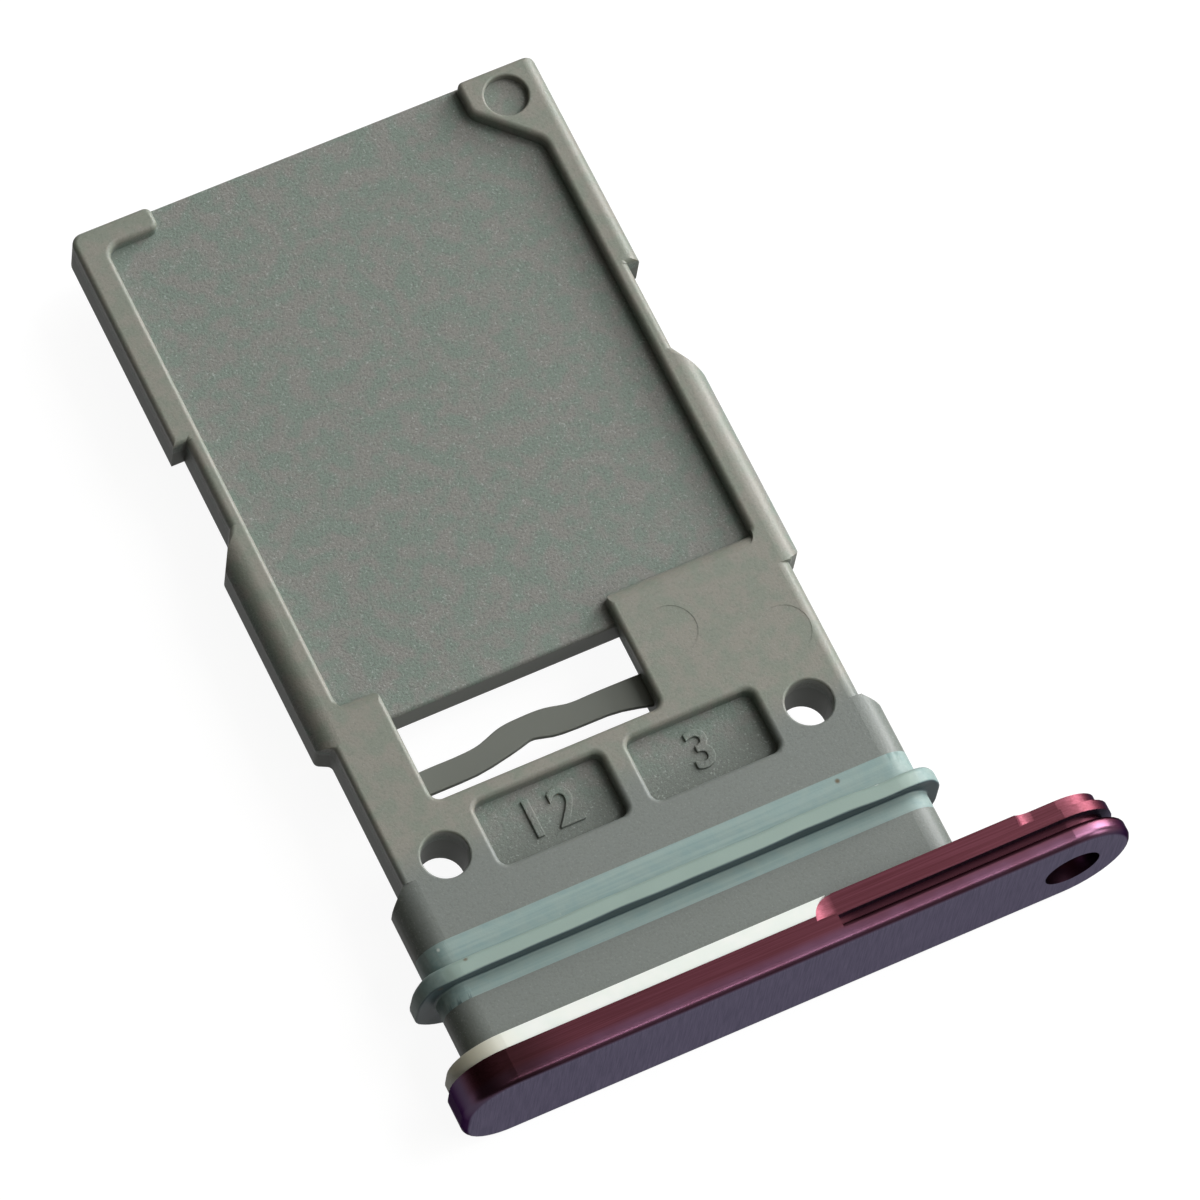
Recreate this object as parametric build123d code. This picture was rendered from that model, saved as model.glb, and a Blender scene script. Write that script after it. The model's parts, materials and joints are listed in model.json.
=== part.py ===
from build123d import *
import math
import os

# Sim card tray in millimetres. X runs across the tray, Y from the front face into the phone, Z up.
# The pieces are drawn with the front face at Y = 0 and the tray's middle at X = 0, then moved to the frame.

overall_length = 20.05
bezel_width = 14.52
bezel_height = 2.7
bezel_depth = 1.1
bezel_offset = 1.37
bezel_left_round = 1.1
front_edge_round = 0.18
rim_depth = 0.41
rim_back_round = 0.1
relief_width = 0.23
relief_depth = 0.2
spacer_depth = 0.33
spacer_gap = 0.03
spacer_inset = 0.03
spacer_end_inset = 0.1
relief_left = 2.3
block_inset = 0.17
scoop_x = 2.4
scoop_y = 0.56
scoop_radius = 0.53
cutter_radius = 0.5
run_out_radius = 0.8
hub_depth = 0.25
hub_radius = 1.02
hub_lead = 0.9
pin_hole_diameter = 1.19
pin_from_end = 1.31

tongue_width = 8.4
tongue_height = 0.8
tongue_reach = 0.7
bond_gap = 0.03

neck_wall = 0.79
neck_shift = 0.02
neck_thickness = 1.4
neck_side_round = 0.6
neck_end = 4.5
neck_ramp = 0.3
plate_thickness = 1.1
plate_start = 6.15
pad_inset = 0.35
shank_wall = 0.44
shank_end = 7.95
shank_ramp = 0.15
guide_wall = 0.73
guide_end = 12.32
guide_ramp = 0.71
guide_shoulder_width = 0.46
guide_shoulder_drop = 0.33
guide_shoulder_bulge = 0.09
side_round = 0.28
notch_round = 0.15
notch_wall = 0.32
notch_end = 15.07
tail_wall = 0.6
largest_corner_round = 0.13
tail_corner_round = 0.25
edge_round = 0.11
underside_round = 0.1

pocket_width = 9.08
pocket_depth = 0.35
pocket_front = 8.8
pocket_corner_round = 0.1
back_shoulder_width = 0.3
back_shoulder_drop = 0.3
back_shoulder_bulge = 0.07
hook_wall = 0.5
hook_reach = 1.16
hook_corner_round = 0.28
hook_tip_round = 0.15
boss_reach = 1.12
boss_flank = 0.71
boss_corner_round = 0.3
boss_join_round = 0.4
boss_hole_diameter = 0.9
boss_hole_side = 0.9
boss_hole_back = 0.65
boss_hole_depth = 0.2

window_middle = -1.2
window_width = 4.95
window_back = 8.18
window_undercut = 0.15
window_undercut_front = 7.0
window_corner_round = 0.2
window_edge_round = 0.1
block_corner_round = 0.25
beam_back = 7.0
beam_thickness = 0.1
beam_below_top = 0.51
beam_edge_round = 0.03
mark_diameter = 1.08
mark_depth = 0.008
left_mark_x = 0.86
left_mark_y = 1.29
right_mark_x = 0.34
right_mark_y = 2.19

locating_hole_diameter = 0.97
locating_hole_side = 1.02
locating_hole_from_front = 5.04
hole_edge_round = 0.05
recess_wall = 0.435
recess_length = 1.43
recess_rib = 0.54
recess_front = 4.37
recess_corner_round = 0.2

seal_front = 2.15
seal_back = 3.44
seal_groove_depth = 0.2
lip_front = 2.48
lip_back = 2.83
lip_proud = 0.45
lip_side_proud = 0.36
lip_under_proud = 0.58
lip_shift = -0.05
lip_front_round = 0.06
lip_back_round = 0.1
lip_root_round = 0.06

level_margin = 0.001

# Spring beam in plan: share of the window's width from the left, and how far the edge stands behind beam_back
beam_back_edge = [
    (0, -0.02),
    (0.15, -0.01),
    (0.22, 0),
    (0.28, 0.04),
    (0.37, 0.19),
    (0.47, 0.24),
    (0.59, 0.21),
    (0.66, 0.13),
    (0.75, 0.12),
    (0.86, 0.12),
    (1, 0.11),
]
beam_front_edge = [
    (0, -0.54),
    (0.15, -0.54),
    (0.22, -0.53),
    (0.36, -0.42),
    (0.43, -0.34),
    (0.48, -0.29),
    (0.53, -0.35),
    (0.6, -0.41),
    (0.74, -0.42),
    (0.84, -0.45),
    (0.93, -0.55),
    (1, -0.64),
]

# Widths over the walls at each side of the card pocket
neck_width = pocket_width + 2 * neck_wall
shank_width = pocket_width + 2 * shank_wall
guide_width = pocket_width + 2 * guide_wall
notch_width = pocket_width + 2 * notch_wall
tail_width = pocket_width + 2 * tail_wall
corner_round = min(largest_corner_round, 0.47 * (tail_wall - notch_wall))

# Levels and edges that follow from the sizes above
middle_z = bezel_height / 2
top_z = middle_z + neck_thickness / 2
neck_bottom_z = middle_z - neck_thickness / 2
plate_bottom_z = top_z - plate_thickness
floor_z = top_z - pocket_depth
pin_x = bezel_offset + bezel_width / 2 - pin_from_end
spacer_back = bezel_depth - spacer_gap
cover_depth = spacer_back - spacer_depth
block_half = bezel_height / 2 - block_inset
relief_half = block_half - relief_depth
shank_start = neck_end + neck_ramp
pocket_half = pocket_width / 2
pocket_back = overall_length - hook_wall
window_left = window_middle - window_width / 2
window_right = window_middle + window_width / 2
reach = 2 * overall_length


def bar(profile, y_from, y_to):
    """Extrude a profile drawn in X and Z between two distances from the front face."""
    return extrude(Plane.XZ.offset(-y_from) * profile, -(y_to - y_from))


def slab(sketch, z_from, z_to):
    """Extrude a plan sketch between two heights."""
    return extrude(Pos(0, 0, z_from) * sketch, z_to - z_from)


def span(x_from, x_to, y_from, y_to):
    """Rectangle in the drawing plane between two corners."""
    return Pos((x_from + x_to) / 2, (y_from + y_to) / 2) * Rectangle(x_to - x_from, y_to - y_from)


def bezel_profile(inset, end_inset):
    """Bezel outline pulled in by an inset: full round on the right, slightly squarer on the left."""
    left = bezel_offset - bezel_width / 2 + end_inset
    right = bezel_offset + bezel_width / 2 - inset
    bottom = inset
    top = bezel_height - inset
    round_x = right - (top - bottom) / 2
    body = span(left, round_x, bottom, top)
    body = fillet(body.vertices().sort_by(Axis.X)[:2], bezel_left_round - inset)
    return body + Pos(round_x, middle_z) * Circle((top - bottom) / 2)


def neck_profile(grow):
    """Section of the neck, grown or shrunk on every side."""
    height = neck_thickness + 2 * grow
    side = min(neck_side_round + grow, 0.49 * height)
    return Pos(neck_shift, middle_z) * RectangleRounded(neck_width + 2 * grow, height, side)


def round_ended(left, half):
    """Outline of a metal step: straight from the left, and round about the pin hole."""
    return span(left, pin_x, middle_z - half, middle_z + half) + Pos(pin_x, middle_z) * Circle(half)


def shoulder(edge, width, drop, bulge):
    """Waste outside a softened top corner whose side face stands at a distance from the axis."""
    start = (edge - width, top_z)
    end = (edge, top_z - drop)
    outside = [(edge + width, top_z - drop), (edge + width, top_z + drop), (edge - width, top_z + drop)]
    return make_face([SagittaArc(start, end, bulge), Polyline(end, *outside, start)])


def near(shapes, point):
    """The edge or vertex whose centre is closest to a point."""
    return shapes.sort_by_distance(point)[0]


# Bezel: front rim, cover plate on the left, stepped block with the pin hole on the right
rim = bar(bezel_profile(0, 0), 0, rim_depth)
rim = fillet(rim.faces().sort_by(Axis.Y)[0].edges(), front_edge_round)
rim = fillet(rim.faces().sort_by(Axis.Y)[-1].edges(), rim_back_round)
cover_front = rim_depth - rim_back_round
cover = bar(bezel_profile(0, 0) & span(-reach, relief_left, -reach, reach), cover_front, cover_depth)
relief_back = rim_depth + relief_width
hub_front = bezel_depth - hub_depth
relief = bar(round_ended(relief_left, relief_half), rim_depth, relief_back)
block = bar(round_ended(scoop_x, block_half), relief_back, hub_front)

# Hub round the pin hole, with the cutter's round where its step starts
hub_left = pin_x - hub_lead
hub_top = middle_z + hub_radius
hub_drop = block_half - hub_radius
hub_run = math.sqrt(2 * cutter_radius * hub_drop - hub_drop ** 2)
sweep = math.degrees(math.asin(hub_run / cutter_radius))
blend_edges = [
    Line((hub_left, hub_top), (hub_left, hub_top + hub_drop)),
    CenterArc((hub_left + hub_run, hub_top + cutter_radius), cutter_radius, 270 - sweep, sweep),
    Line((hub_left + hub_run, hub_top), (hub_left, hub_top)),
]
blend = make_face(blend_edges)
mirror_line = Plane((0, middle_z, 0), x_dir=(1, 0, 0), z_dir=(0, 1, 0))
hub = round_ended(hub_left, hub_radius) + blend + mirror(blend, about=mirror_line)
hub = hub + span(scoop_x, hub_left, middle_z - block_half, middle_z + block_half)
block = block + bar(hub, hub_front, bezel_depth)

# Left end of the block: round in plan, with the cutter's run-out at the top and the underside
scoop_plan = Pos(scoop_x, scoop_y) * Circle(scoop_radius)
behind_relief = span(-reach, reach, relief_back, bezel_depth)
block_end = slab(scoop_plan & behind_relief & span(-reach, scoop_x, -reach, reach), 0, bezel_height)
scoop_left = scoop_x - scoop_radius
scoop_floor = bezel_height - block_inset
scoop_run = math.sqrt(2 * run_out_radius * block_inset - block_inset ** 2)
scoop_sweep = math.degrees(math.asin(scoop_run / run_out_radius))
scoop_centre = (scoop_left + scoop_run, scoop_floor + run_out_radius)
scoop_edges = [
    CenterArc(scoop_centre, run_out_radius, 270 - scoop_sweep, scoop_sweep),
    Line((scoop_left + scoop_run, scoop_floor), (scoop_x, scoop_floor)),
    Line((scoop_x, scoop_floor), (scoop_x, bezel_height)),
    Line((scoop_x, bezel_height), (scoop_left, bezel_height)),
]
scoop = bar(make_face(scoop_edges), relief_back, bezel_depth) & slab(scoop_plan, 0, bezel_height)
scoops = scoop + mirror(scoop, about=Plane.XY.offset(middle_z))

tongue_front = bezel_depth - tongue_reach
tongue_profile = Pos(0, middle_z) * Rectangle(tongue_width, tongue_height)
socket_profile = Pos(0, middle_z) * Rectangle(tongue_width + 2 * bond_gap, tongue_height + 2 * bond_gap)
socket = bar(socket_profile, tongue_front - bond_gap, bezel_depth)
pin_hole = bar(Pos(pin_x, middle_z) * Circle(pin_hole_diameter / 2), 0, bezel_depth)
bezel = rim + cover + relief + block + block_end - scoops - socket - pin_hole

# White strip between the cover plate and the neck
strip = bezel_profile(spacer_inset, spacer_end_inset) & span(-reach, scoop_x, -reach, reach)
bezel_spacer = bar(strip, cover_depth, spacer_back) - socket - slab(scoop_plan, 0, bezel_height)

# Plan outline of the tray behind the neck, one side then the other
half_outline = [
    (neck_width / 2 + neck_shift, neck_end),
    (shank_width / 2, shank_start),
    (shank_width / 2, shank_end),
    (guide_width / 2, shank_end + shank_ramp),
    (guide_width / 2, guide_end),
    (notch_width / 2, guide_end + guide_ramp),
    (notch_width / 2, notch_end),
    (tail_width / 2, notch_end),
    (tail_width / 2, overall_length),
]
other_half = [(-x, y) for x, y in reversed(half_outline)]
outline = make_face(Polyline(*half_outline, *other_half, close=True))
in_front = span(-reach, reach, -reach, shank_start)
behind_neck = outline.vertices().filter_by(lambda v: v.Y > neck_end)
soft_corners = behind_neck.filter_by(lambda v: abs(v.Y - notch_end) > level_margin)
outline = fillet(soft_corners.filter_by(lambda v: v.Y < overall_length - level_margin), corner_round)
outline = fillet(outline.vertices().filter_by(lambda v: v.Y > overall_length - level_margin), tail_corner_round)

# Raised layer: rails, hook, boss and blocks stand round the card pocket
boss_left = pocket_half - boss_reach
boss_corner = overall_length - boss_flank
hook_tip = hook_reach - pocket_half
hollow_points = [
    (hook_tip, reach),
    (hook_tip, pocket_back),
    (-pocket_half, pocket_back),
    (-pocket_half, pocket_front),
    (window_left, pocket_front),
    (window_left, plate_start),
    (window_right, plate_start),
    (window_right, pocket_front),
    (pocket_half, pocket_front),
    (pocket_half, boss_corner - boss_reach),
    (boss_left, boss_corner),
    (boss_left, reach),
]
hollow_rounds = [
    hook_tip_round,
    hook_corner_round,
    pocket_corner_round,
    block_corner_round,
    window_corner_round,
    window_corner_round,
    block_corner_round,
    pocket_corner_round,
    boss_join_round,
    boss_corner_round,
]
hollow = make_face(Polyline(*hollow_points, close=True))
for point, radius in zip(hollow_points[1:-1], hollow_rounds):
    hollow = fillet(near(hollow.vertices(), (*point, 0)), radius)
raised_plan = outline - hollow - in_front
for tip_x, tip_round in ((hook_tip, hook_tip_round), (boss_left, corner_round)):
    raised_plan = fillet(near(raised_plan.vertices(), (tip_x, overall_length, 0)), tip_round)
raised = slab(raised_plan, floor_z, top_z)
raised_edges = raised.faces().sort_by(Axis.Z)[-1].edges()
raised = fillet(raised_edges.filter_by(lambda e: e.center().Y > shank_start), edge_round)

# Softer shoulders along the sides, most of all on the right, and along the back of the two blocks
guide_waste = shoulder(guide_width / 2, guide_shoulder_width, guide_shoulder_drop, guide_shoulder_bulge)
quarter_bulge = 1 - math.sqrt(0.5)
shank_waste = shoulder(shank_width / 2, side_round, side_round, quarter_bulge * side_round)
tail_waste = shoulder(tail_width / 2, side_round, side_round, quarter_bulge * side_round)
notch_waste = shoulder(notch_width / 2, notch_round, notch_round, quarter_bulge * notch_round)
guide_cutter = bar(guide_waste, shank_end, guide_end + guide_ramp)
notch_cutter = bar(notch_waste, guide_end + guide_ramp, notch_end)
raised = raised - guide_cutter - mirror(guide_cutter, about=Plane.YZ)
raised = raised - notch_cutter - mirror(notch_cutter, about=Plane.YZ)
raised = raised - bar(shank_waste, shank_start, shank_end) - bar(tail_waste, notch_end, reach)
back_waste = shoulder(pocket_front, back_shoulder_width, back_shoulder_drop, back_shoulder_bulge)
back_plan = Pos(0, pocket_front) * SlotOverall(pocket_width, 2 * back_shoulder_width)
back_cutter = extrude(Plane.YZ.offset(-pocket_half) * back_waste, pocket_width)
raised = raised - (back_cutter & slab(back_plan, 0, reach))

# Floor plate with the window, the neck in front of it and a pad that carries the neck's thickness back
plate = slab(outline - in_front, plate_bottom_z, floor_z)
plate_edges = plate.faces().sort_by(Axis.Z)[0].edges()
plate = fillet(plate_edges.filter_by(lambda e: e.center().Y > shank_start), underside_round)
window = span(window_left, window_right, plate_start, window_back)
window = window + span(window_right, window_right + window_undercut, window_undercut_front, window_back)
plate = plate - slab(window, plate_bottom_z, floor_z)
window_edge = near(plate.edges(), (window_middle, window_back, floor_z))
plate = fillet(window_edge, window_edge_round)
pad_half = shank_width / 2 - pad_inset
pad = slab(span(-pad_half, pad_half, neck_end, plate_start), neck_bottom_z, floor_z)
neck = bar(neck_profile(0), bezel_depth, shank_start)
neck = neck - (slab(span(-reach, reach, neck_end, reach), 0, reach) - slab(outline, 0, reach))
tongue = bar(tongue_profile, tongue_front, bezel_depth)
seal_groove = bar(neck_profile(lip_proud) - neck_profile(-seal_groove_depth), seal_front, seal_back)

# Spring beam across the window


def beam_edge(stations):
    """One long edge of the beam in plan, from the left end of the window to its undercut right end."""
    width = window_width + window_undercut
    return Spline(*[(window_left + share * width, beam_back + behind) for share, behind in stations])


front_edge = beam_edge(beam_front_edge)
back_edge = beam_edge(beam_back_edge)
left_end = Line(front_edge @ 0, back_edge @ 0)
right_end = Line(front_edge @ 1, back_edge @ 1)
beam_plan = make_face([front_edge, right_end, back_edge, left_end])
beam_top_z = top_z - beam_below_top
beam = slab(beam_plan, beam_top_z - beam_thickness, beam_top_z)
beam_top = beam.faces().sort_by(Axis.Z)[-1].edges().sort_by(SortBy.LENGTH)[-2:]
beam = fillet(beam_top, beam_edge_round)

tray_body = plate + neck + pad + raised + beam + tongue - seal_groove

# Two recesses and two locating holes in the top of the neck, and the blind hole in the boss
hole_x = shank_width / 2 - locating_hole_side
recess_width = hole_x - locating_hole_diameter / 2 - recess_wall - recess_rib / 2
recess_x = (recess_rib + recess_width) / 2
recess_y = recess_front + recess_length / 2
recess = RectangleRounded(recess_width, recess_length, recess_corner_round)
recesses = Pos(-recess_x, recess_y) * recess + Pos(recess_x, recess_y) * recess
locating_hole = Circle(locating_hole_diameter / 2)
boss_hole_x = tail_width / 2 - boss_hole_side
boss_hole = Pos(boss_hole_x, overall_length - boss_hole_back) * Circle(boss_hole_diameter / 2)
mark = Circle(mark_diameter / 2)
marks = Pos(window_right + left_mark_x, pocket_front - left_mark_y) * mark
marks = marks + Pos(pocket_half - right_mark_x, pocket_front - right_mark_y) * mark
tray_body = tray_body - slab(recesses, floor_z, top_z) - slab(boss_hole, top_z - boss_hole_depth, top_z)
tray_body = tray_body - slab(marks, top_z - mark_depth, top_z)
tray_body = tray_body - slab(Pos(-hole_x, locating_hole_from_front) * locating_hole, 0, reach)
tray_body = tray_body - slab(Pos(hole_x, locating_hole_from_front) * locating_hole, 0, reach)


def top_edges(x_middle, y_middle, width, length):
    """Edges of the top face inside a rectangle round a point."""
    level = tray_body.edges().filter_by_position(Axis.Z, top_z - level_margin, top_z + level_margin)
    across = level.filter_by_position(Axis.X, x_middle - width / 2, x_middle + width / 2)
    return across.filter_by_position(Axis.Y, y_middle - length / 2, y_middle + length / 2)


for side in (-1, 1):
    edges = top_edges(side * recess_x, recess_y, 1.05 * recess_width, 1.05 * recess_length)
    tray_body = fillet(edges, edge_round)
    size = 1.05 * locating_hole_diameter
    tray_body = fillet(top_edges(side * hole_x, locating_hole_from_front, size, size), hole_edge_round)
size = 1.05 * boss_hole_diameter
tray_body = fillet(top_edges(boss_hole_x, overall_length - boss_hole_back, size, size), hole_edge_round)

# Soft seal seated in the neck's groove
band = bar(neck_profile(0), seal_front, seal_back)
lip_height = neck_thickness + lip_proud + lip_under_proud
lip_section = RectangleRounded(neck_width + 2 * lip_side_proud, lip_height, neck_side_round + lip_side_proud)
lip = bar(Pos(lip_shift, middle_z + (lip_proud - lip_under_proud) / 2) * lip_section, lip_front, lip_back)
lip = fillet(lip.faces().sort_by(Axis.Y)[0].edges(), lip_front_round)
lip = fillet(lip.faces().sort_by(Axis.Y)[-1].edges(), lip_back_round)
seal_ring = band + lip
half_width = neck_width / 2 + level_margin
lip_root = seal_ring.edges().filter_by_position(Axis.Y, lip_front - level_margin, lip_back + level_margin)
lip_root = lip_root.filter_by_position(Axis.Z, neck_bottom_z - level_margin, top_z + level_margin)
lip_root = lip_root.filter_by_position(Axis.X, neck_shift - half_width, neck_shift + half_width)
seal_ring = fillet(lip_root, lip_root_round)
seal_ring = seal_ring - bar(neck_profile(-seal_groove_depth), seal_front, seal_back)

to_frame = Pos(-bezel_offset, -overall_length / 2, 0)
os.makedirs("parts", exist_ok=True)
export_step(to_frame * tray_body, "parts/tray_body.step")
export_step(to_frame * seal_ring, "parts/seal_ring.step")
export_step(to_frame * bezel, "parts/bezel.step")
export_step(to_frame * bezel_spacer, "parts/bezel_spacer.step")
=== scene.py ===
# %% [markdown]
# Sim card tray
#
# A sim card tray is a small moulded plate that carries a card into a phone. This one has four pieces: a grey
# moulded tray, a soft seal round its neck, a metal bezel that closes the phone's slot, and a white strip behind
# the bezel. The lesson loads their solids as a fixed frame and then works on what the solids lack: the finish of
# each surface, the softness of the seal and the light.
#
# The whole part is only 20 mm long. Blender counts in metres, so sizes are written in millimetres times MM.

# %% Load the frame
import json
import math

import bpy
from mathutils import Matrix, Vector


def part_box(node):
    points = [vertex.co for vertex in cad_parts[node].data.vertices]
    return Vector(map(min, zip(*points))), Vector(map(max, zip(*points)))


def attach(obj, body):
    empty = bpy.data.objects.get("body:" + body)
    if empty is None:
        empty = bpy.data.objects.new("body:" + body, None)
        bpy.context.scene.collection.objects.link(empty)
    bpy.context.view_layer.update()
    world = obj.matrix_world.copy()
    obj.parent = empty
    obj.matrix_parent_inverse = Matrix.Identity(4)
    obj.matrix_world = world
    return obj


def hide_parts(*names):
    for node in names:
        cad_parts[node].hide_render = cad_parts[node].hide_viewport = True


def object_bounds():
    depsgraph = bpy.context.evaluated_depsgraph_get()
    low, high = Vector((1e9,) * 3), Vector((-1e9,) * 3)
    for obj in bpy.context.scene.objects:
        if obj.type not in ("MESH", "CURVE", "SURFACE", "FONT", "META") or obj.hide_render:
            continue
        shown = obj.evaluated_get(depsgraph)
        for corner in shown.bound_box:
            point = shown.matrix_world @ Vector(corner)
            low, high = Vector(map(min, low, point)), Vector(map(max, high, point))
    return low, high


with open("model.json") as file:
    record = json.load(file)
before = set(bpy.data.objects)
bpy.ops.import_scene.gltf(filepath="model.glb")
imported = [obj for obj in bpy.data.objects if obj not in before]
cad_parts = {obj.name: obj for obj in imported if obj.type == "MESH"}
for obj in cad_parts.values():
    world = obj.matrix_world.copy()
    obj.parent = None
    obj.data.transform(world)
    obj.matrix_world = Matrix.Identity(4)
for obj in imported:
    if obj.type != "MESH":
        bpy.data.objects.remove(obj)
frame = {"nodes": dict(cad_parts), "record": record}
cad_low, cad_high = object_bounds()
MM = 0.001
nodes = frame["nodes"]
middle = (cad_low + cad_high) / 2
print("pieces:", ", ".join(sorted(nodes)))
print("size in mm:", [round(side / MM, 2) for side in cad_high - cad_low])

# %% [markdown]
# The camera
#
# The photographer stood in front of the bezel, a little to the left, and looked down steeply with a long lens
# from close by. Parallel edges therefore draw together only slightly. A camera is easier to read as an angle, a
# tilt and a distance than as a matrix, so those are the values here, and the axes are worked out from them.

# %% Camera
CAMERA_AZIMUTH = math.radians(-36.3)
CAMERA_ELEVATION = math.radians(66.167)
CAMERA_ROLL = math.radians(11.407)
CAMERA_DISTANCE = 181.18 * MM
CAMERA_LENS = 275.3
AIM = Vector((-0.054, -1.120, 1.373)) * MM


def camera_axes(azimuth, elevation, roll):
    """Right, up and backward directions of a camera that looks down at the part."""
    flat = math.cos(elevation)
    back = Vector((math.sin(azimuth) * flat, -math.cos(azimuth) * flat, math.sin(elevation)))
    level = Vector((0, 0, 1)).cross(back).normalized()
    upright = back.cross(level)
    right = math.cos(roll) * level + math.sin(roll) * upright
    return right, back.cross(right), back


right, up, back = camera_axes(CAMERA_AZIMUTH, CAMERA_ELEVATION, CAMERA_ROLL)
camera_data = bpy.data.cameras.new("product_camera")
camera_data.lens = CAMERA_LENS
camera_data.clip_start = 0.01
camera = bpy.data.objects.new("product_camera", camera_data)
turn = Matrix((right, up, back)).transposed().to_4x4()
camera.matrix_world = Matrix.Translation(AIM + CAMERA_DISTANCE * back) @ turn
bpy.context.scene.collection.objects.link(camera)
bpy.context.scene.camera = camera
print("camera stands at, in mm:", [round(value / MM, 1) for value in camera.matrix_world.translation])

# %% [markdown]
# Shader helpers
#
# Every finish below is a small tree of nodes. One helper adds a node and fills or links its inputs, so that a
# finish reads from top to bottom like a recipe. Colours are written as the 0 to 255 values that a picture editor
# shows, and are turned into the linear values that a shader works with.

# %% Shader helpers


def tone(red, green, blue):
    """Linear colour from the 0 to 255 values of a picture editor."""
    parts = []
    for value in (red, green, blue):
        share = value / 255
        parts.append(share / 12.92 if share <= 0.04045 else ((share + 0.055) / 1.055) ** 2.4)
    return (*parts, 1.0)


def add(tree, kind, inputs=None, **options):
    """Add one shader node, set its options, and fill or link its inputs."""
    made = tree.nodes.new("ShaderNode" + kind)
    for option, value in options.items():
        setattr(made, option, value)
    for socket, value in (inputs or {}).items():
        if isinstance(value, bpy.types.NodeSocket):
            tree.links.new(value, made.inputs[socket])
        else:
            made.inputs[socket].default_value = value
    return made


def new_finish(name):
    """A material with one Principled shader: its tree, that shader and the Object coordinates."""
    material = bpy.data.materials.new(name)
    material.use_nodes = True
    tree = material.node_tree
    shader = tree.nodes["Principled BSDF"]
    place = add(tree, "TexCoord").outputs["Object"]
    return material, tree, shader, place


def noise(tree, place, size, detail=2.0, roughness=0.5):
    """Soft noise whose spots are about the given size."""
    settings = {"Vector": place, "Scale": 1 / size, "Detail": detail, "Roughness": roughness}
    return add(tree, "TexNoise", settings).outputs["Fac"]


def stretched(tree, place, x, y, z):
    """The place divided by a size along each axis, for noise that runs in streaks."""
    return add(tree, "VectorMath", {0: place, 1: (1 / x, 1 / y, 1 / z)}, operation="MULTIPLY").outputs[0]


def ramp(tree, value, start, end):
    """A value that climbs smoothly from 0 to 1 between two readings."""
    settings = {"Value": value, "From Min": start, "From Max": end}
    return add(tree, "MapRange", settings, interpolation_type="SMOOTHSTEP").outputs["Result"]


def between(tree, share, first, second):
    """Mix of two colours. The Mix node keeps its colour sockets at places 6 and 7, and the result at 2."""
    return add(tree, "Mix", {0: share, 6: first, 7: second}, data_type="RGBA").outputs[2]


def blend(tree, share, first, second):
    """Mix of two plain values."""
    return add(tree, "Mix", {0: share, 2: first, 3: second}, data_type="FLOAT").outputs[0]


def spread(tree, share, start, end):
    """A value that runs straight from one number to another as the share goes from 0 to 1."""
    return add(tree, "MapRange", {"Value": share, "To Min": start, "To Max": end}).outputs["Result"]


def axes_of(tree, vector):
    """The X, Y and Z parts of a vector."""
    return add(tree, "SeparateXYZ", {"Vector": vector}).outputs


def facing_of(tree):
    """The X, Y and Z parts of the direction that the surface faces."""
    return axes_of(tree, add(tree, "NewGeometry").outputs["Normal"])


def calculate(tree, operation, first, second):
    """One step of arithmetic on two values."""
    return add(tree, "Math", {0: first, 1: second}, operation=operation).outputs[0]


def times(tree, first, second):
    """Two values multiplied, which for two masks keeps only what both cover."""
    return calculate(tree, "MULTIPLY", first, second)


def give_bump(tree, shader, height, strength, depth):
    """Fine relief on a finish, of a depth given in metres."""
    bump = add(tree, "Bump", {"Strength": strength, "Distance": depth, "Height": height})
    tree.links.new(bump.outputs["Normal"], shader.inputs["Normal"])


def give_depth(shader, weight, radius, scale):
    """Let light enter a plastic a little way before it comes out again."""
    shader.inputs["Subsurface Weight"].default_value = weight
    shader.inputs["Subsurface Radius"].default_value = radius
    shader.inputs["Subsurface Scale"].default_value = scale


def wear_finish(piece, material):
    """Give a piece one finish all over."""
    piece.data.materials.clear()
    piece.data.materials.append(material)
    print(piece.name, "wears", material.name)


# %% [markdown]
# The grey moulding
#
# The tray is moulded in a grey engineering plastic. The floor of the card pocket was spark eroded in the mould,
# so it is covered in tiny craters that catch the light, while the rails, blocks and neck come from smoother
# steel and look a little warmer. The sparkle of the craters is painted into the colour as pale specks, a painted
# highlight. One finish does both: the height on the part tells the floor from what stands round it.

# %% Grey moulding finish
card_floor = next(mount for mount in frame["record"]["mounts"] if mount["name"] == "card_floor")
FLOOR_LEVEL = card_floor["pos_m"][2]
TOP_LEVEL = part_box("tray_body")[1].z
NECK_END = -4.9 * MM


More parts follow.
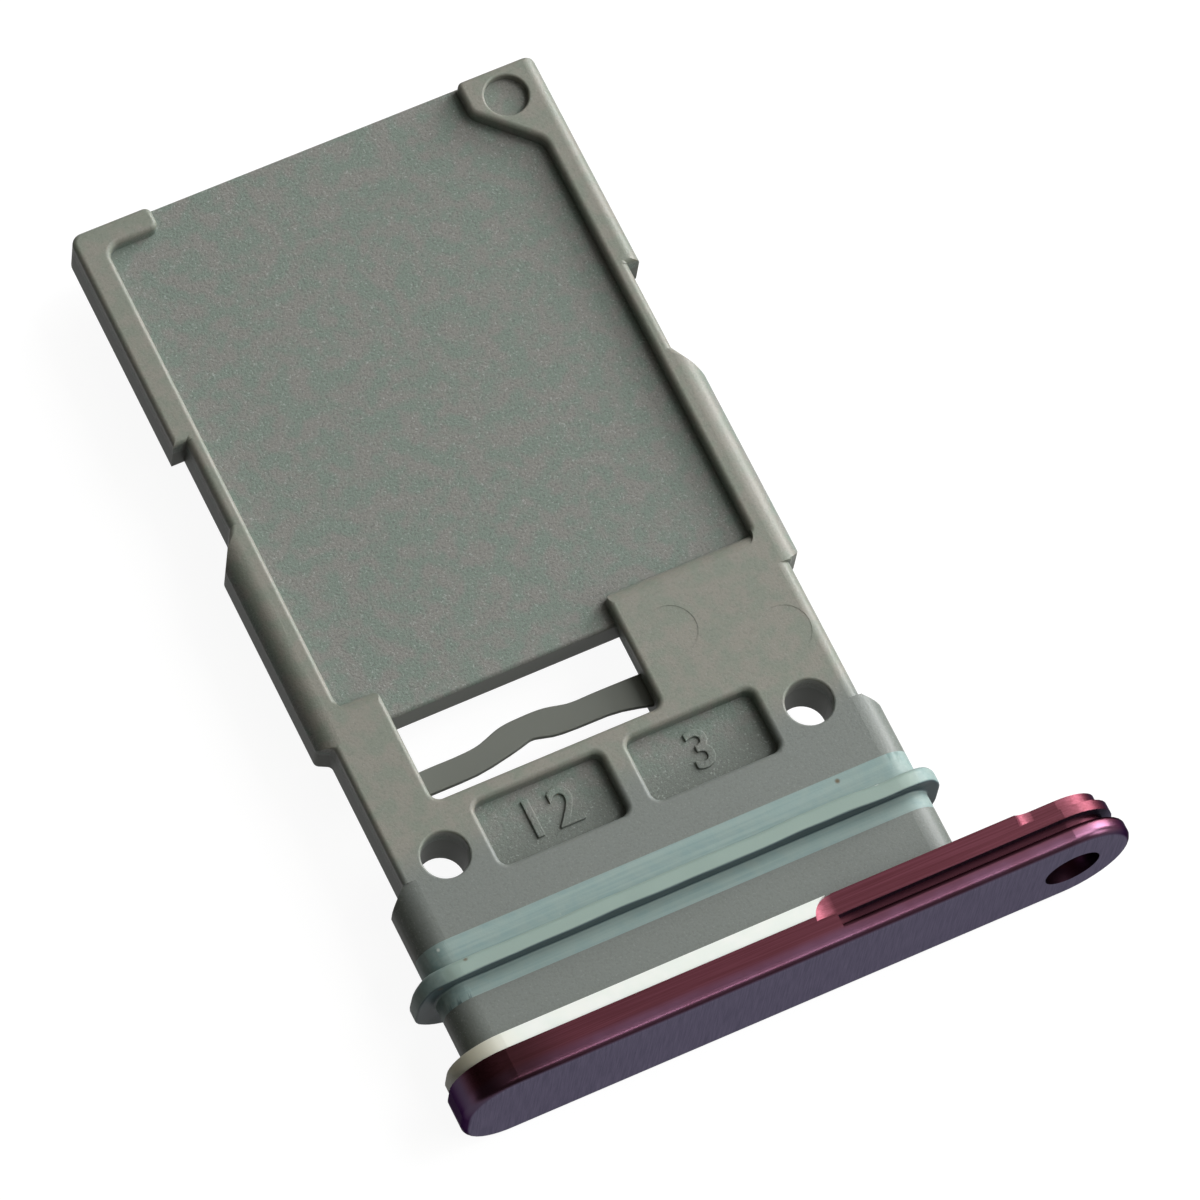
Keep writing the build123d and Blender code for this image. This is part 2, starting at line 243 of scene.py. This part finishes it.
def moulding_finish():
    """Grey plastic: cratered with painted highlights on the floors, finer above them, smooth on the beam below.
    """
    material, tree, shader, place = new_finish("grey_moulding")
    spot = axes_of(tree, place)
    raised = ramp(tree, spot["Z"], FLOOR_LEVEL + 0.08 * MM, TOP_LEVEL - 0.06 * MM)
    sunk = ramp(tree, spot["Z"], FLOOR_LEVEL - 0.03 * MM, FLOOR_LEVEL - 0.12 * MM)
    neck = ramp(tree, spot["Y"], NECK_END + 0.5 * MM, NECK_END - 0.5 * MM)

    mottle = ramp(tree, noise(tree, place, 0.42 * MM, 2.0), 0.36, 0.64)
    floor_colour = between(tree, mottle, tone(119, 131, 122), tone(130, 130, 125))
    floor_colour = between(tree, neck, floor_colour, tone(110, 116, 110))
    raised_colour = between(tree, mottle, tone(131, 136, 125), tone(140, 138, 129))
    raised_colour = between(tree, neck, raised_colour, tone(122, 127, 123))
    colour = between(tree, raised, floor_colour, raised_colour)

    craters = noise(tree, place, 0.055 * MM, 3.0, 0.6)
    pit = times(tree, ramp(tree, craters, 0.52, 0.3), spread(tree, raised, 0.5, 0.24))
    colour = between(tree, pit, colour, tone(94, 98, 93))
    # Painted highlight: pale specks where the craters would catch the light.
    painted_glint = ramp(tree, noise(tree, place, 0.042 * MM, 1.0), 0.6, 0.76)
    painted_glint = times(tree, painted_glint, spread(tree, raised, 0.4, 0.14))
    colour = between(tree, painted_glint, colour, tone(180, 187, 180))
    colour = between(tree, sunk, colour, tone(106, 109, 102))

    tree.links.new(colour, shader.inputs["Base Color"])
    tree.links.new(spread(tree, raised, 0.5, 0.4), shader.inputs["Roughness"])
    not_sunk = calculate(tree, "SUBTRACT", 1.0, sunk)
    give_bump(tree, shader, craters, times(tree, spread(tree, raised, 0.7, 0.25), not_sunk), 0.02 * MM)
    shader.inputs["Specular IOR Level"].default_value = 0.32
    give_depth(shader, 0.12, (1.0, 0.85, 0.6), 0.15 * MM)
    return material


moulding = moulding_finish()
wear_finish(nodes["tray_body"], moulding)

# %% [markdown]
# The numbers in the two recesses
#
# Moulds often carry raised numbers that tell which cavity a part came from, and two shallow recesses in the neck
# are the place for them here. Blender's own letters are sharp, and letters cut into a mould with a small ball
# cutter are not, so each number is turned into a mesh, made into one skin by a voxel remesh and smoothed. Remesh
# won't take voxels this small, so the number is shaped a thousand times larger and shrunk afterwards.

# %% Recess numbers
RECESS_MIDDLES = {"left": -3.025 * MM, "right": 0.285 * MM}
RECESS_DEEP = -4.94 * MM
NUMBER_HEIGHT = 0.86 * MM
NUMBER_RISE = 0.06 * MM
NUMBER_VOXEL = 0.014
TYPE_SIZE_PER_HEIGHT = 1.35
ENLARGED = 1000.0


def pick_only(piece):
    """Select one piece alone and make it the active one."""
    bpy.ops.object.select_all(action="DESELECT")
    piece.select_set(True)
    bpy.context.view_layer.objects.active = piece


def apply_modifier(piece, kind, **settings):
    """Add a modifier with some settings and apply it at once."""
    pick_only(piece)
    modifier = piece.modifiers.new(kind.lower(), kind)
    for setting, value in settings.items():
        setattr(modifier, setting, value)
    bpy.ops.object.modifier_apply(modifier=modifier.name)


def raised_number(name, words, across):
    """One soft raised number on the floor of a recess."""
    bpy.ops.object.select_all(action="DESELECT")
    bpy.ops.object.text_add(location=(0, 0, 0))
    piece = bpy.context.object
    piece.name = name
    piece.data.body = words
    piece.data.align_x = "CENTER"
    piece.data.align_y = "CENTER"
    piece.data.size = TYPE_SIZE_PER_HEIGHT * NUMBER_HEIGHT * ENLARGED
    piece.data.space_character = 1.2
    piece.data.offset = 0.022
    piece.data.extrude = NUMBER_RISE * ENLARGED
    piece.data.resolution_u = 6
    bpy.ops.object.convert(target="MESH")
    apply_modifier(piece, "REMESH", mode="VOXEL", voxel_size=NUMBER_VOXEL)
    apply_modifier(piece, "SMOOTH", factor=0.5, iterations=6)
    piece.data.transform(Matrix.Scale(1 / ENLARGED, 4))
    piece.data.transform(Matrix.Translation((across, RECESS_DEEP, FLOOR_LEVEL)))
    pick_only(piece)
    bpy.ops.object.shade_smooth()
    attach(piece, "root")
    wear_finish(piece, moulding)
    print(name, "has", len(piece.data.polygons), "faces")


raised_number("recess_number_left", "12", RECESS_MIDDLES["left"])
raised_number("recess_number_right", "3", RECESS_MIDDLES["right"])

# %% [markdown]
# The soft seal
#
# The seal is a band of bluish silicone in a groove round the neck, with one thin lip that presses on the wall of
# the phone's slot. The solid has the right section but lies as straight as machined metal, and silicone never
# does. A copy of the solid takes its place: its triangles are merged, it is cut across in many places, the foot
# of the lip is drawn back so that the lip leans forward, and then the lip is pushed to and fro and made a little
# thicker and thinner. The band stays where it is, in its groove.

# %% Cut the seal
CUTS = 60
LIP_FRONT = -7.545 * MM
LIP_BACK = -7.195 * MM
LIP_HEIGHT = 0.4 * MM
LIP_LEAN = 0.06
FOOT_MARGIN = 0.1 * MM
SMOOTH_BELOW = math.radians(32)
LIP_WAVES = (("sway", 1.6, "Y", 0.09), ("swell", 0.9, "NORMAL", 0.014))
seal_node = nodes["seal_ring"]
seal = bpy.data.objects.new("soft_seal", seal_node.data.copy())
bpy.context.scene.collection.objects.link(seal)
seal.data.transform(seal_node.matrix_world)
seal.data.transform(Matrix.Scale(ENLARGED, 4))
pick_only(seal)
bpy.ops.object.mode_set(mode="EDIT")
bpy.ops.mesh.select_all(action="SELECT")
bpy.ops.mesh.remove_doubles(threshold=0.0005)
seal_low, seal_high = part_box("seal_ring")
for cut in range(1, CUTS):
    across = seal_low.x + (seal_high.x - seal_low.x) * cut / CUTS
    bpy.ops.mesh.select_all(action="SELECT")
    bpy.ops.mesh.bisect(plane_co=(across * ENLARGED, 0, 0), plane_no=(1, 0, 0))
bpy.ops.object.mode_set(mode="OBJECT")
print("cut seal has", len(seal.data.vertices), "corners")

# %% Soften the lip
lip = seal.vertex_groups.new(name="lip")
foot = seal.vertex_groups.new(name="foot")
neck_low, neck_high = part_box("tray_body")
for vertex in seal.data.vertices:
    x, y, z = vertex.co / ENLARGED
    proud = max(neck_low.x - x, x - neck_high.x, neck_low.z - z, z - neck_high.z)
    share = min(max(proud / LIP_HEIGHT, 0.0), 1.0)
    lip.add([vertex.index], share, "REPLACE")
    if LIP_FRONT - FOOT_MARGIN < y < LIP_BACK + FOOT_MARGIN:
        foot.add([vertex.index], 1 - share, "REPLACE")
apply_modifier(seal, "DISPLACE", direction="Y", vertex_group="foot", strength=LIP_LEAN, mid_level=0.0)
for name, size, direction, strength in LIP_WAVES:
    cloud = bpy.data.textures.new(name, "CLOUDS")
    cloud.noise_scale = size
    cloud.noise_depth = 1
    apply_modifier(seal, "DISPLACE", texture=cloud, texture_coords="LOCAL", direction=direction,
                   vertex_group="lip", strength=strength, mid_level=0.5)
seal.data.transform(Matrix.Scale(1 / ENLARGED, 4))
pick_only(seal)
bpy.ops.object.shade_smooth_by_angle(angle=SMOOTH_BELOW)
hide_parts("seal_ring")
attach(seal, "root")
print("soft seal has", len(seal.data.polygons), "faces")

# %% [markdown]
# The look of silicone
#
# Silicone is satin and picks up dust. Along the top of the lip it is coloured paler, a painted highlight where
# the light comes through the thin lip.
# The front of the lip is coloured darker than the rest, which stands for the deep shade under it in the picture.

# %% Seal finish


def seal_finish():
    """Bluish silicone with a painted highlight along the top of the lip, a darker front of the lip, and a few
    pale and brown specks.
    """
    material, tree, shader, place = new_finish("seal_silicone")
    height = axes_of(tree, place)["Z"]
    cloud = ramp(tree, noise(tree, place, 0.3 * MM, 3.0), 0.34, 0.66)
    drawn = stretched(tree, place, 3.0 * MM, 0.07 * MM, 0.07 * MM)
    streak = ramp(tree, noise(tree, drawn, 1.0, 2.0), 0.32, 0.68)
    colour = between(tree, cloud, tone(132, 155, 153), tone(140, 159, 155))
    colour = between(tree, times(tree, streak, 0.4), colour, tone(158, 176, 172))
    # Painted highlight: a paler colour along the top of the lip.
    painted_crest_highlight = ramp(tree, height, TOP_LEVEL + 0.3 * MM, TOP_LEVEL + 0.42 * MM)
    colour = between(tree, painted_crest_highlight, colour, tone(146, 165, 157))
    lip_front = ramp(tree, facing_of(tree)["Y"], -0.3, -0.85)
    colour = between(tree, lip_front, colour, tone(72, 88, 92))
    for size, chance, shade in ((0.42, 0.86, tone(205, 212, 205)), (0.6, 0.88, tone(104, 92, 74))):
        speck = add(tree, "TexVoronoi", {"Vector": place, "Scale": 1 / (size * MM)})
        pick = add(tree, "SeparateColor", {"Color": speck.outputs["Color"]}).outputs["Red"]
        chosen = ramp(tree, pick, chance, chance + 0.02)
        dot = ramp(tree, speck.outputs["Distance"], 0.13, 0.05)
        colour = between(tree, times(tree, chosen, dot), colour, shade)
    tree.links.new(colour, shader.inputs["Base Color"])
    shader.inputs["Roughness"].default_value = 0.5
    shader.inputs["Specular IOR Level"].default_value = 0.35
    give_depth(shader, 0.1, (0.7, 1.0, 1.0), 0.15 * MM)
    give_bump(tree, shader, noise(tree, place, 0.05 * MM, 2.0), 0.22, 0.01 * MM)
    return material


wear_finish(seal, seal_finish())

# %% [markdown]
# The metal bezel
#
# The bezel is aluminium, dyed burgundy when it was anodised. Its front face, which is what a phone's owner sees,
# is brushed across its height and looks more slate than red; that slate colour is partly a painted reflection of
# the floor. The upright ends and sides are coloured slate as a painted reflection, and the rim is coloured mauve
# as a painted sheen. The steps behind it are plain milled metal with faint lines along their length. The narrow
# groove behind the rim and the left end lie in deep shade in the picture, deeper than these lamps make it, so
# both are coloured darker than the rest.

# %% Bezel finish
RIM_BEGINS, RIM_FULL = cad_low.y + 0.4 * MM, cad_low.y + 0.2 * MM
GROOVE_FRONT = (cad_low.y + 0.28 * MM, cad_low.y + 0.36 * MM)
GROOVE_BACK = (cad_low.y + 0.66 * MM, cad_low.y + 0.63 * MM)
GROOVE_LEFT = (0.9 * MM, 1.4 * MM)
LEFT_END_INNER = (cad_low.x + 2.6 * MM, cad_low.x + 1.1 * MM)
LEFT_END_OUTER = (cad_low.x + 0.6 * MM, cad_low.x + 1.1 * MM)


def dark_places(tree, spot):
    """Masks for the groove behind the rim and for the left end, which are coloured darker."""
    groove = times(tree, ramp(tree, spot["Y"], *GROOVE_FRONT), ramp(tree, spot["Y"], *GROOVE_BACK))
    groove = times(tree, groove, ramp(tree, spot["X"], *GROOVE_LEFT))
    left_end = times(tree, ramp(tree, spot["X"], *LEFT_END_INNER), ramp(tree, spot["X"], *LEFT_END_OUTER))
    return groove, left_end


def bezel_finish():
    """Anodised metal: brushed in front, with a slate colour that is partly painted reflection; painted slate
    reflection on the ends, painted mauve sheen on the rim, burgundy on the steps.
    """
    material, tree, shader, place = new_finish("anodised_burgundy")
    facing = facing_of(tree)
    front = ramp(tree, facing["Y"], -0.8, -0.97)
    level = add(tree, "Math", {0: facing["Z"]}, operation="ABSOLUTE").outputs[0]
    # Mask for upright faces, which are coloured slate below as a painted reflection.
    upright = ramp(tree, level, 0.78, 0.4)
    spot = axes_of(tree, place)
    rim = ramp(tree, spot["Y"], RIM_BEGINS, RIM_FULL)
    groove, left_end = dark_places(tree, spot)

    brushed = noise(tree, stretched(tree, place, 0.03 * MM, 1.0 * MM, 0.9 * MM), 1.0, 3.0, 0.65)
    milled = noise(tree, stretched(tree, place, 2.5 * MM, 0.03 * MM, 0.03 * MM), 1.0, 3.0, 0.6)
    cloud = ramp(tree, noise(tree, place, 0.6 * MM, 2.0), 0.3, 0.7)
    # Front colour: brushed tone variation, with a slate hue that is partly a painted reflection of the floor.
    brushed_front_and_reflection = between(tree, ramp(tree, brushed, 0.28, 0.72), tone(96, 92, 111), tone(120, 113, 134))
    step_colour = between(tree, ramp(tree, milled, 0.3, 0.7), tone(86, 46, 53), tone(101, 57, 67))
    # Painted sheen: the rim is coloured a lighter mauve than the steps.
    rim_painted_sheen = between(tree, cloud, tone(104, 68, 86), tone(112, 77, 98))
    step_colour = between(tree, rim, step_colour, rim_painted_sheen)
    step_colour = between(tree, times(tree, left_end, 0.75), step_colour, tone(46, 25, 27))
    # Painted reflection: upright ends and sides coloured slate instead of burgundy.
    step_colour = between(tree, upright, step_colour, tone(84, 71, 90))
    step_colour = between(tree, times(tree, groove, 0.7), step_colour, tone(36, 20, 27))
    tree.links.new(between(tree, front, step_colour, brushed_front_and_reflection), shader.inputs["Base Color"])

    edge_tint = between(tree, front, tone(140, 132, 142), tone(190, 188, 198))
    tree.links.new(edge_tint, shader.inputs["Specular Tint"])
    shader.inputs["Metallic"].default_value = 1.0
    rough = blend(tree, front, spread(tree, rim, 0.36, 0.30), 0.42)
    tree.links.new(rough, shader.inputs["Roughness"])
    give_bump(tree, shader, blend(tree, front, milled, brushed), 0.1, 0.005 * MM)
    return material


wear_finish(nodes["bezel"], bezel_finish())

# %% [markdown]
# The white strip
#
# A strip of white plastic fills the gap behind the bezel's left part. White plastic is never quite white: this
# one is faintly green. Where it bends round the end it is coloured a little yellow, a painted reflection of the
# nearby plastic.

# %% White strip finish


def strip_finish():
    """Plain white plastic, coloured slightly yellow towards its rounded end as a painted reflection."""
    material, tree, shader, place = new_finish("white_strip")
    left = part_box("bezel_spacer")[0].x
    # Painted reflection: a yellow tint towards the rounded end.
    end_painted_reflection = ramp(tree, axes_of(tree, place)["X"], left + 1.6 * MM, left + 0.4 * MM)
    cloud = ramp(tree, noise(tree, place, 0.5 * MM, 2.0), 0.35, 0.65)
    colour = between(tree, cloud, tone(240, 246, 239), tone(246, 249, 243))
    colour = between(tree, end_painted_reflection, colour, tone(236, 233, 212))
    tree.links.new(colour, shader.inputs["Base Color"])
    shader.inputs["Roughness"].default_value = 0.45
    give_depth(shader, 0.2, (1.0, 0.95, 0.8), 0.2 * MM)
    return material


wear_finish(nodes["bezel_spacer"], strip_finish())

# %% [markdown]
# The studio
#
# The picture was taken beside a window: soft light from the right and a little from behind, a dim room on the
# left, and a white page all round. The page is a large floor. To a camera or a reflection it shines white by
# itself, and only the small rest of its brightness comes from the lamps, so the part's shadow stays on it but is
# faint, and little light comes back up onto the dark left side.

# %% Floor
FLOOR_SIZE = 2.0
FLOOR_DROP = 0.002 * MM
PAGE_SEEN = 0.93
PAGE_MIRRORED = 0.6
bpy.ops.object.select_all(action="DESELECT")
bpy.ops.mesh.primitive_plane_add(size=FLOOR_SIZE, location=(0, 0, -FLOOR_DROP))
floor = bpy.context.object
floor.name = "white_page"
page, page_tree, page_shader, _ = new_finish("white_page")
page_shader.inputs["Roughness"].default_value = 0.9
page_shader.inputs["Specular IOR Level"].default_value = 0.0
rays = add(page_tree, "LightPath").outputs
mirrored = calculate(page_tree, "MAXIMUM", rays["Is Glossy Ray"], rays["Is Transmission Ray"])
mirrored = times(page_tree, mirrored, PAGE_MIRRORED)
glow = calculate(page_tree, "MAXIMUM", times(page_tree, rays["Is Camera Ray"], PAGE_SEEN), mirrored)
shade = between(page_tree, rays["Is Camera Ray"], (0.05, 0.05, 0.047, 1.0), (0.15, 0.15, 0.15, 1.0))
page_tree.links.new(shade, page_shader.inputs["Base Color"])
page_shader.inputs["Emission Color"].default_value = (1.0, 1.0, 1.0, 1.0)
page_tree.links.new(glow, page_shader.inputs["Emission Strength"])
floor.data.materials.append(page)
print("floor", FLOOR_SIZE, "m wide")

# %% Lamps


def softbox(name, direction, distance, width, height, level):
    """A soft lamp that points at the part; a white card facing it would be lit to the given level."""
    lamp_data = bpy.data.lights.new(name, "AREA")
    lamp_data.shape = "RECTANGLE"
    lamp_data.size = width
    lamp_data.size_y = height
    lamp_data.energy = level * (math.pi * distance) ** 2
    lamp = bpy.data.objects.new(name, lamp_data)
    way = Vector(direction).normalized()
    aimed = way.to_track_quat("Z", "Y").to_matrix().to_4x4()
    lamp.matrix_world = Matrix.Translation(middle + distance * way) @ aimed
    bpy.context.scene.collection.objects.link(lamp)
    print(name, "gives level", level, "from", [round(value, 2) for value in way])


softbox("window", (0.895, 0.325, 0.30), 0.25, 0.09, 0.135, 0.85)
softbox("high_window", (0.60, 0.02, 0.80), 0.30, 0.16, 0.16, 0.50)
softbox("side_fill", (0.82, -0.45, 0.35), 0.30, 0.12, 0.12, 0.25)
softbox("front_strip", (0.24, -0.42, 0.87), 0.30, 0.16, 0.03, 0.11)

# %% Room light
ROOM_DARK = 0.03
ROOM_BRIGHT = 0.36
ROOM_SIDE = Vector((0.86, 0.08, 0.5)).normalized()
world = bpy.data.worlds.new("room")
world.use_nodes = True
bpy.context.scene.world = world
room = world.node_tree
way = add(room, "TexCoord").outputs["Generated"]
towards = add(room, "VectorMath", {0: way, 1: ROOM_SIDE}, operation="DOT_PRODUCT").outputs["Value"]
side = ramp(room, towards, -0.2, 0.95)
backdrop = room.nodes["Background"]
room.links.new(spread(room, side, ROOM_DARK, ROOM_BRIGHT), backdrop.inputs["Strength"])
warmth = between(room, side, (1.0, 0.92, 0.76, 1.0), (0.97, 1.0, 0.98, 1.0))
room.links.new(warmth, backdrop.inputs["Color"])
bpy.context.scene.view_settings.view_transform = "Standard"
print("room light from", ROOM_DARK, "on the left to", ROOM_BRIGHT, "on the right")
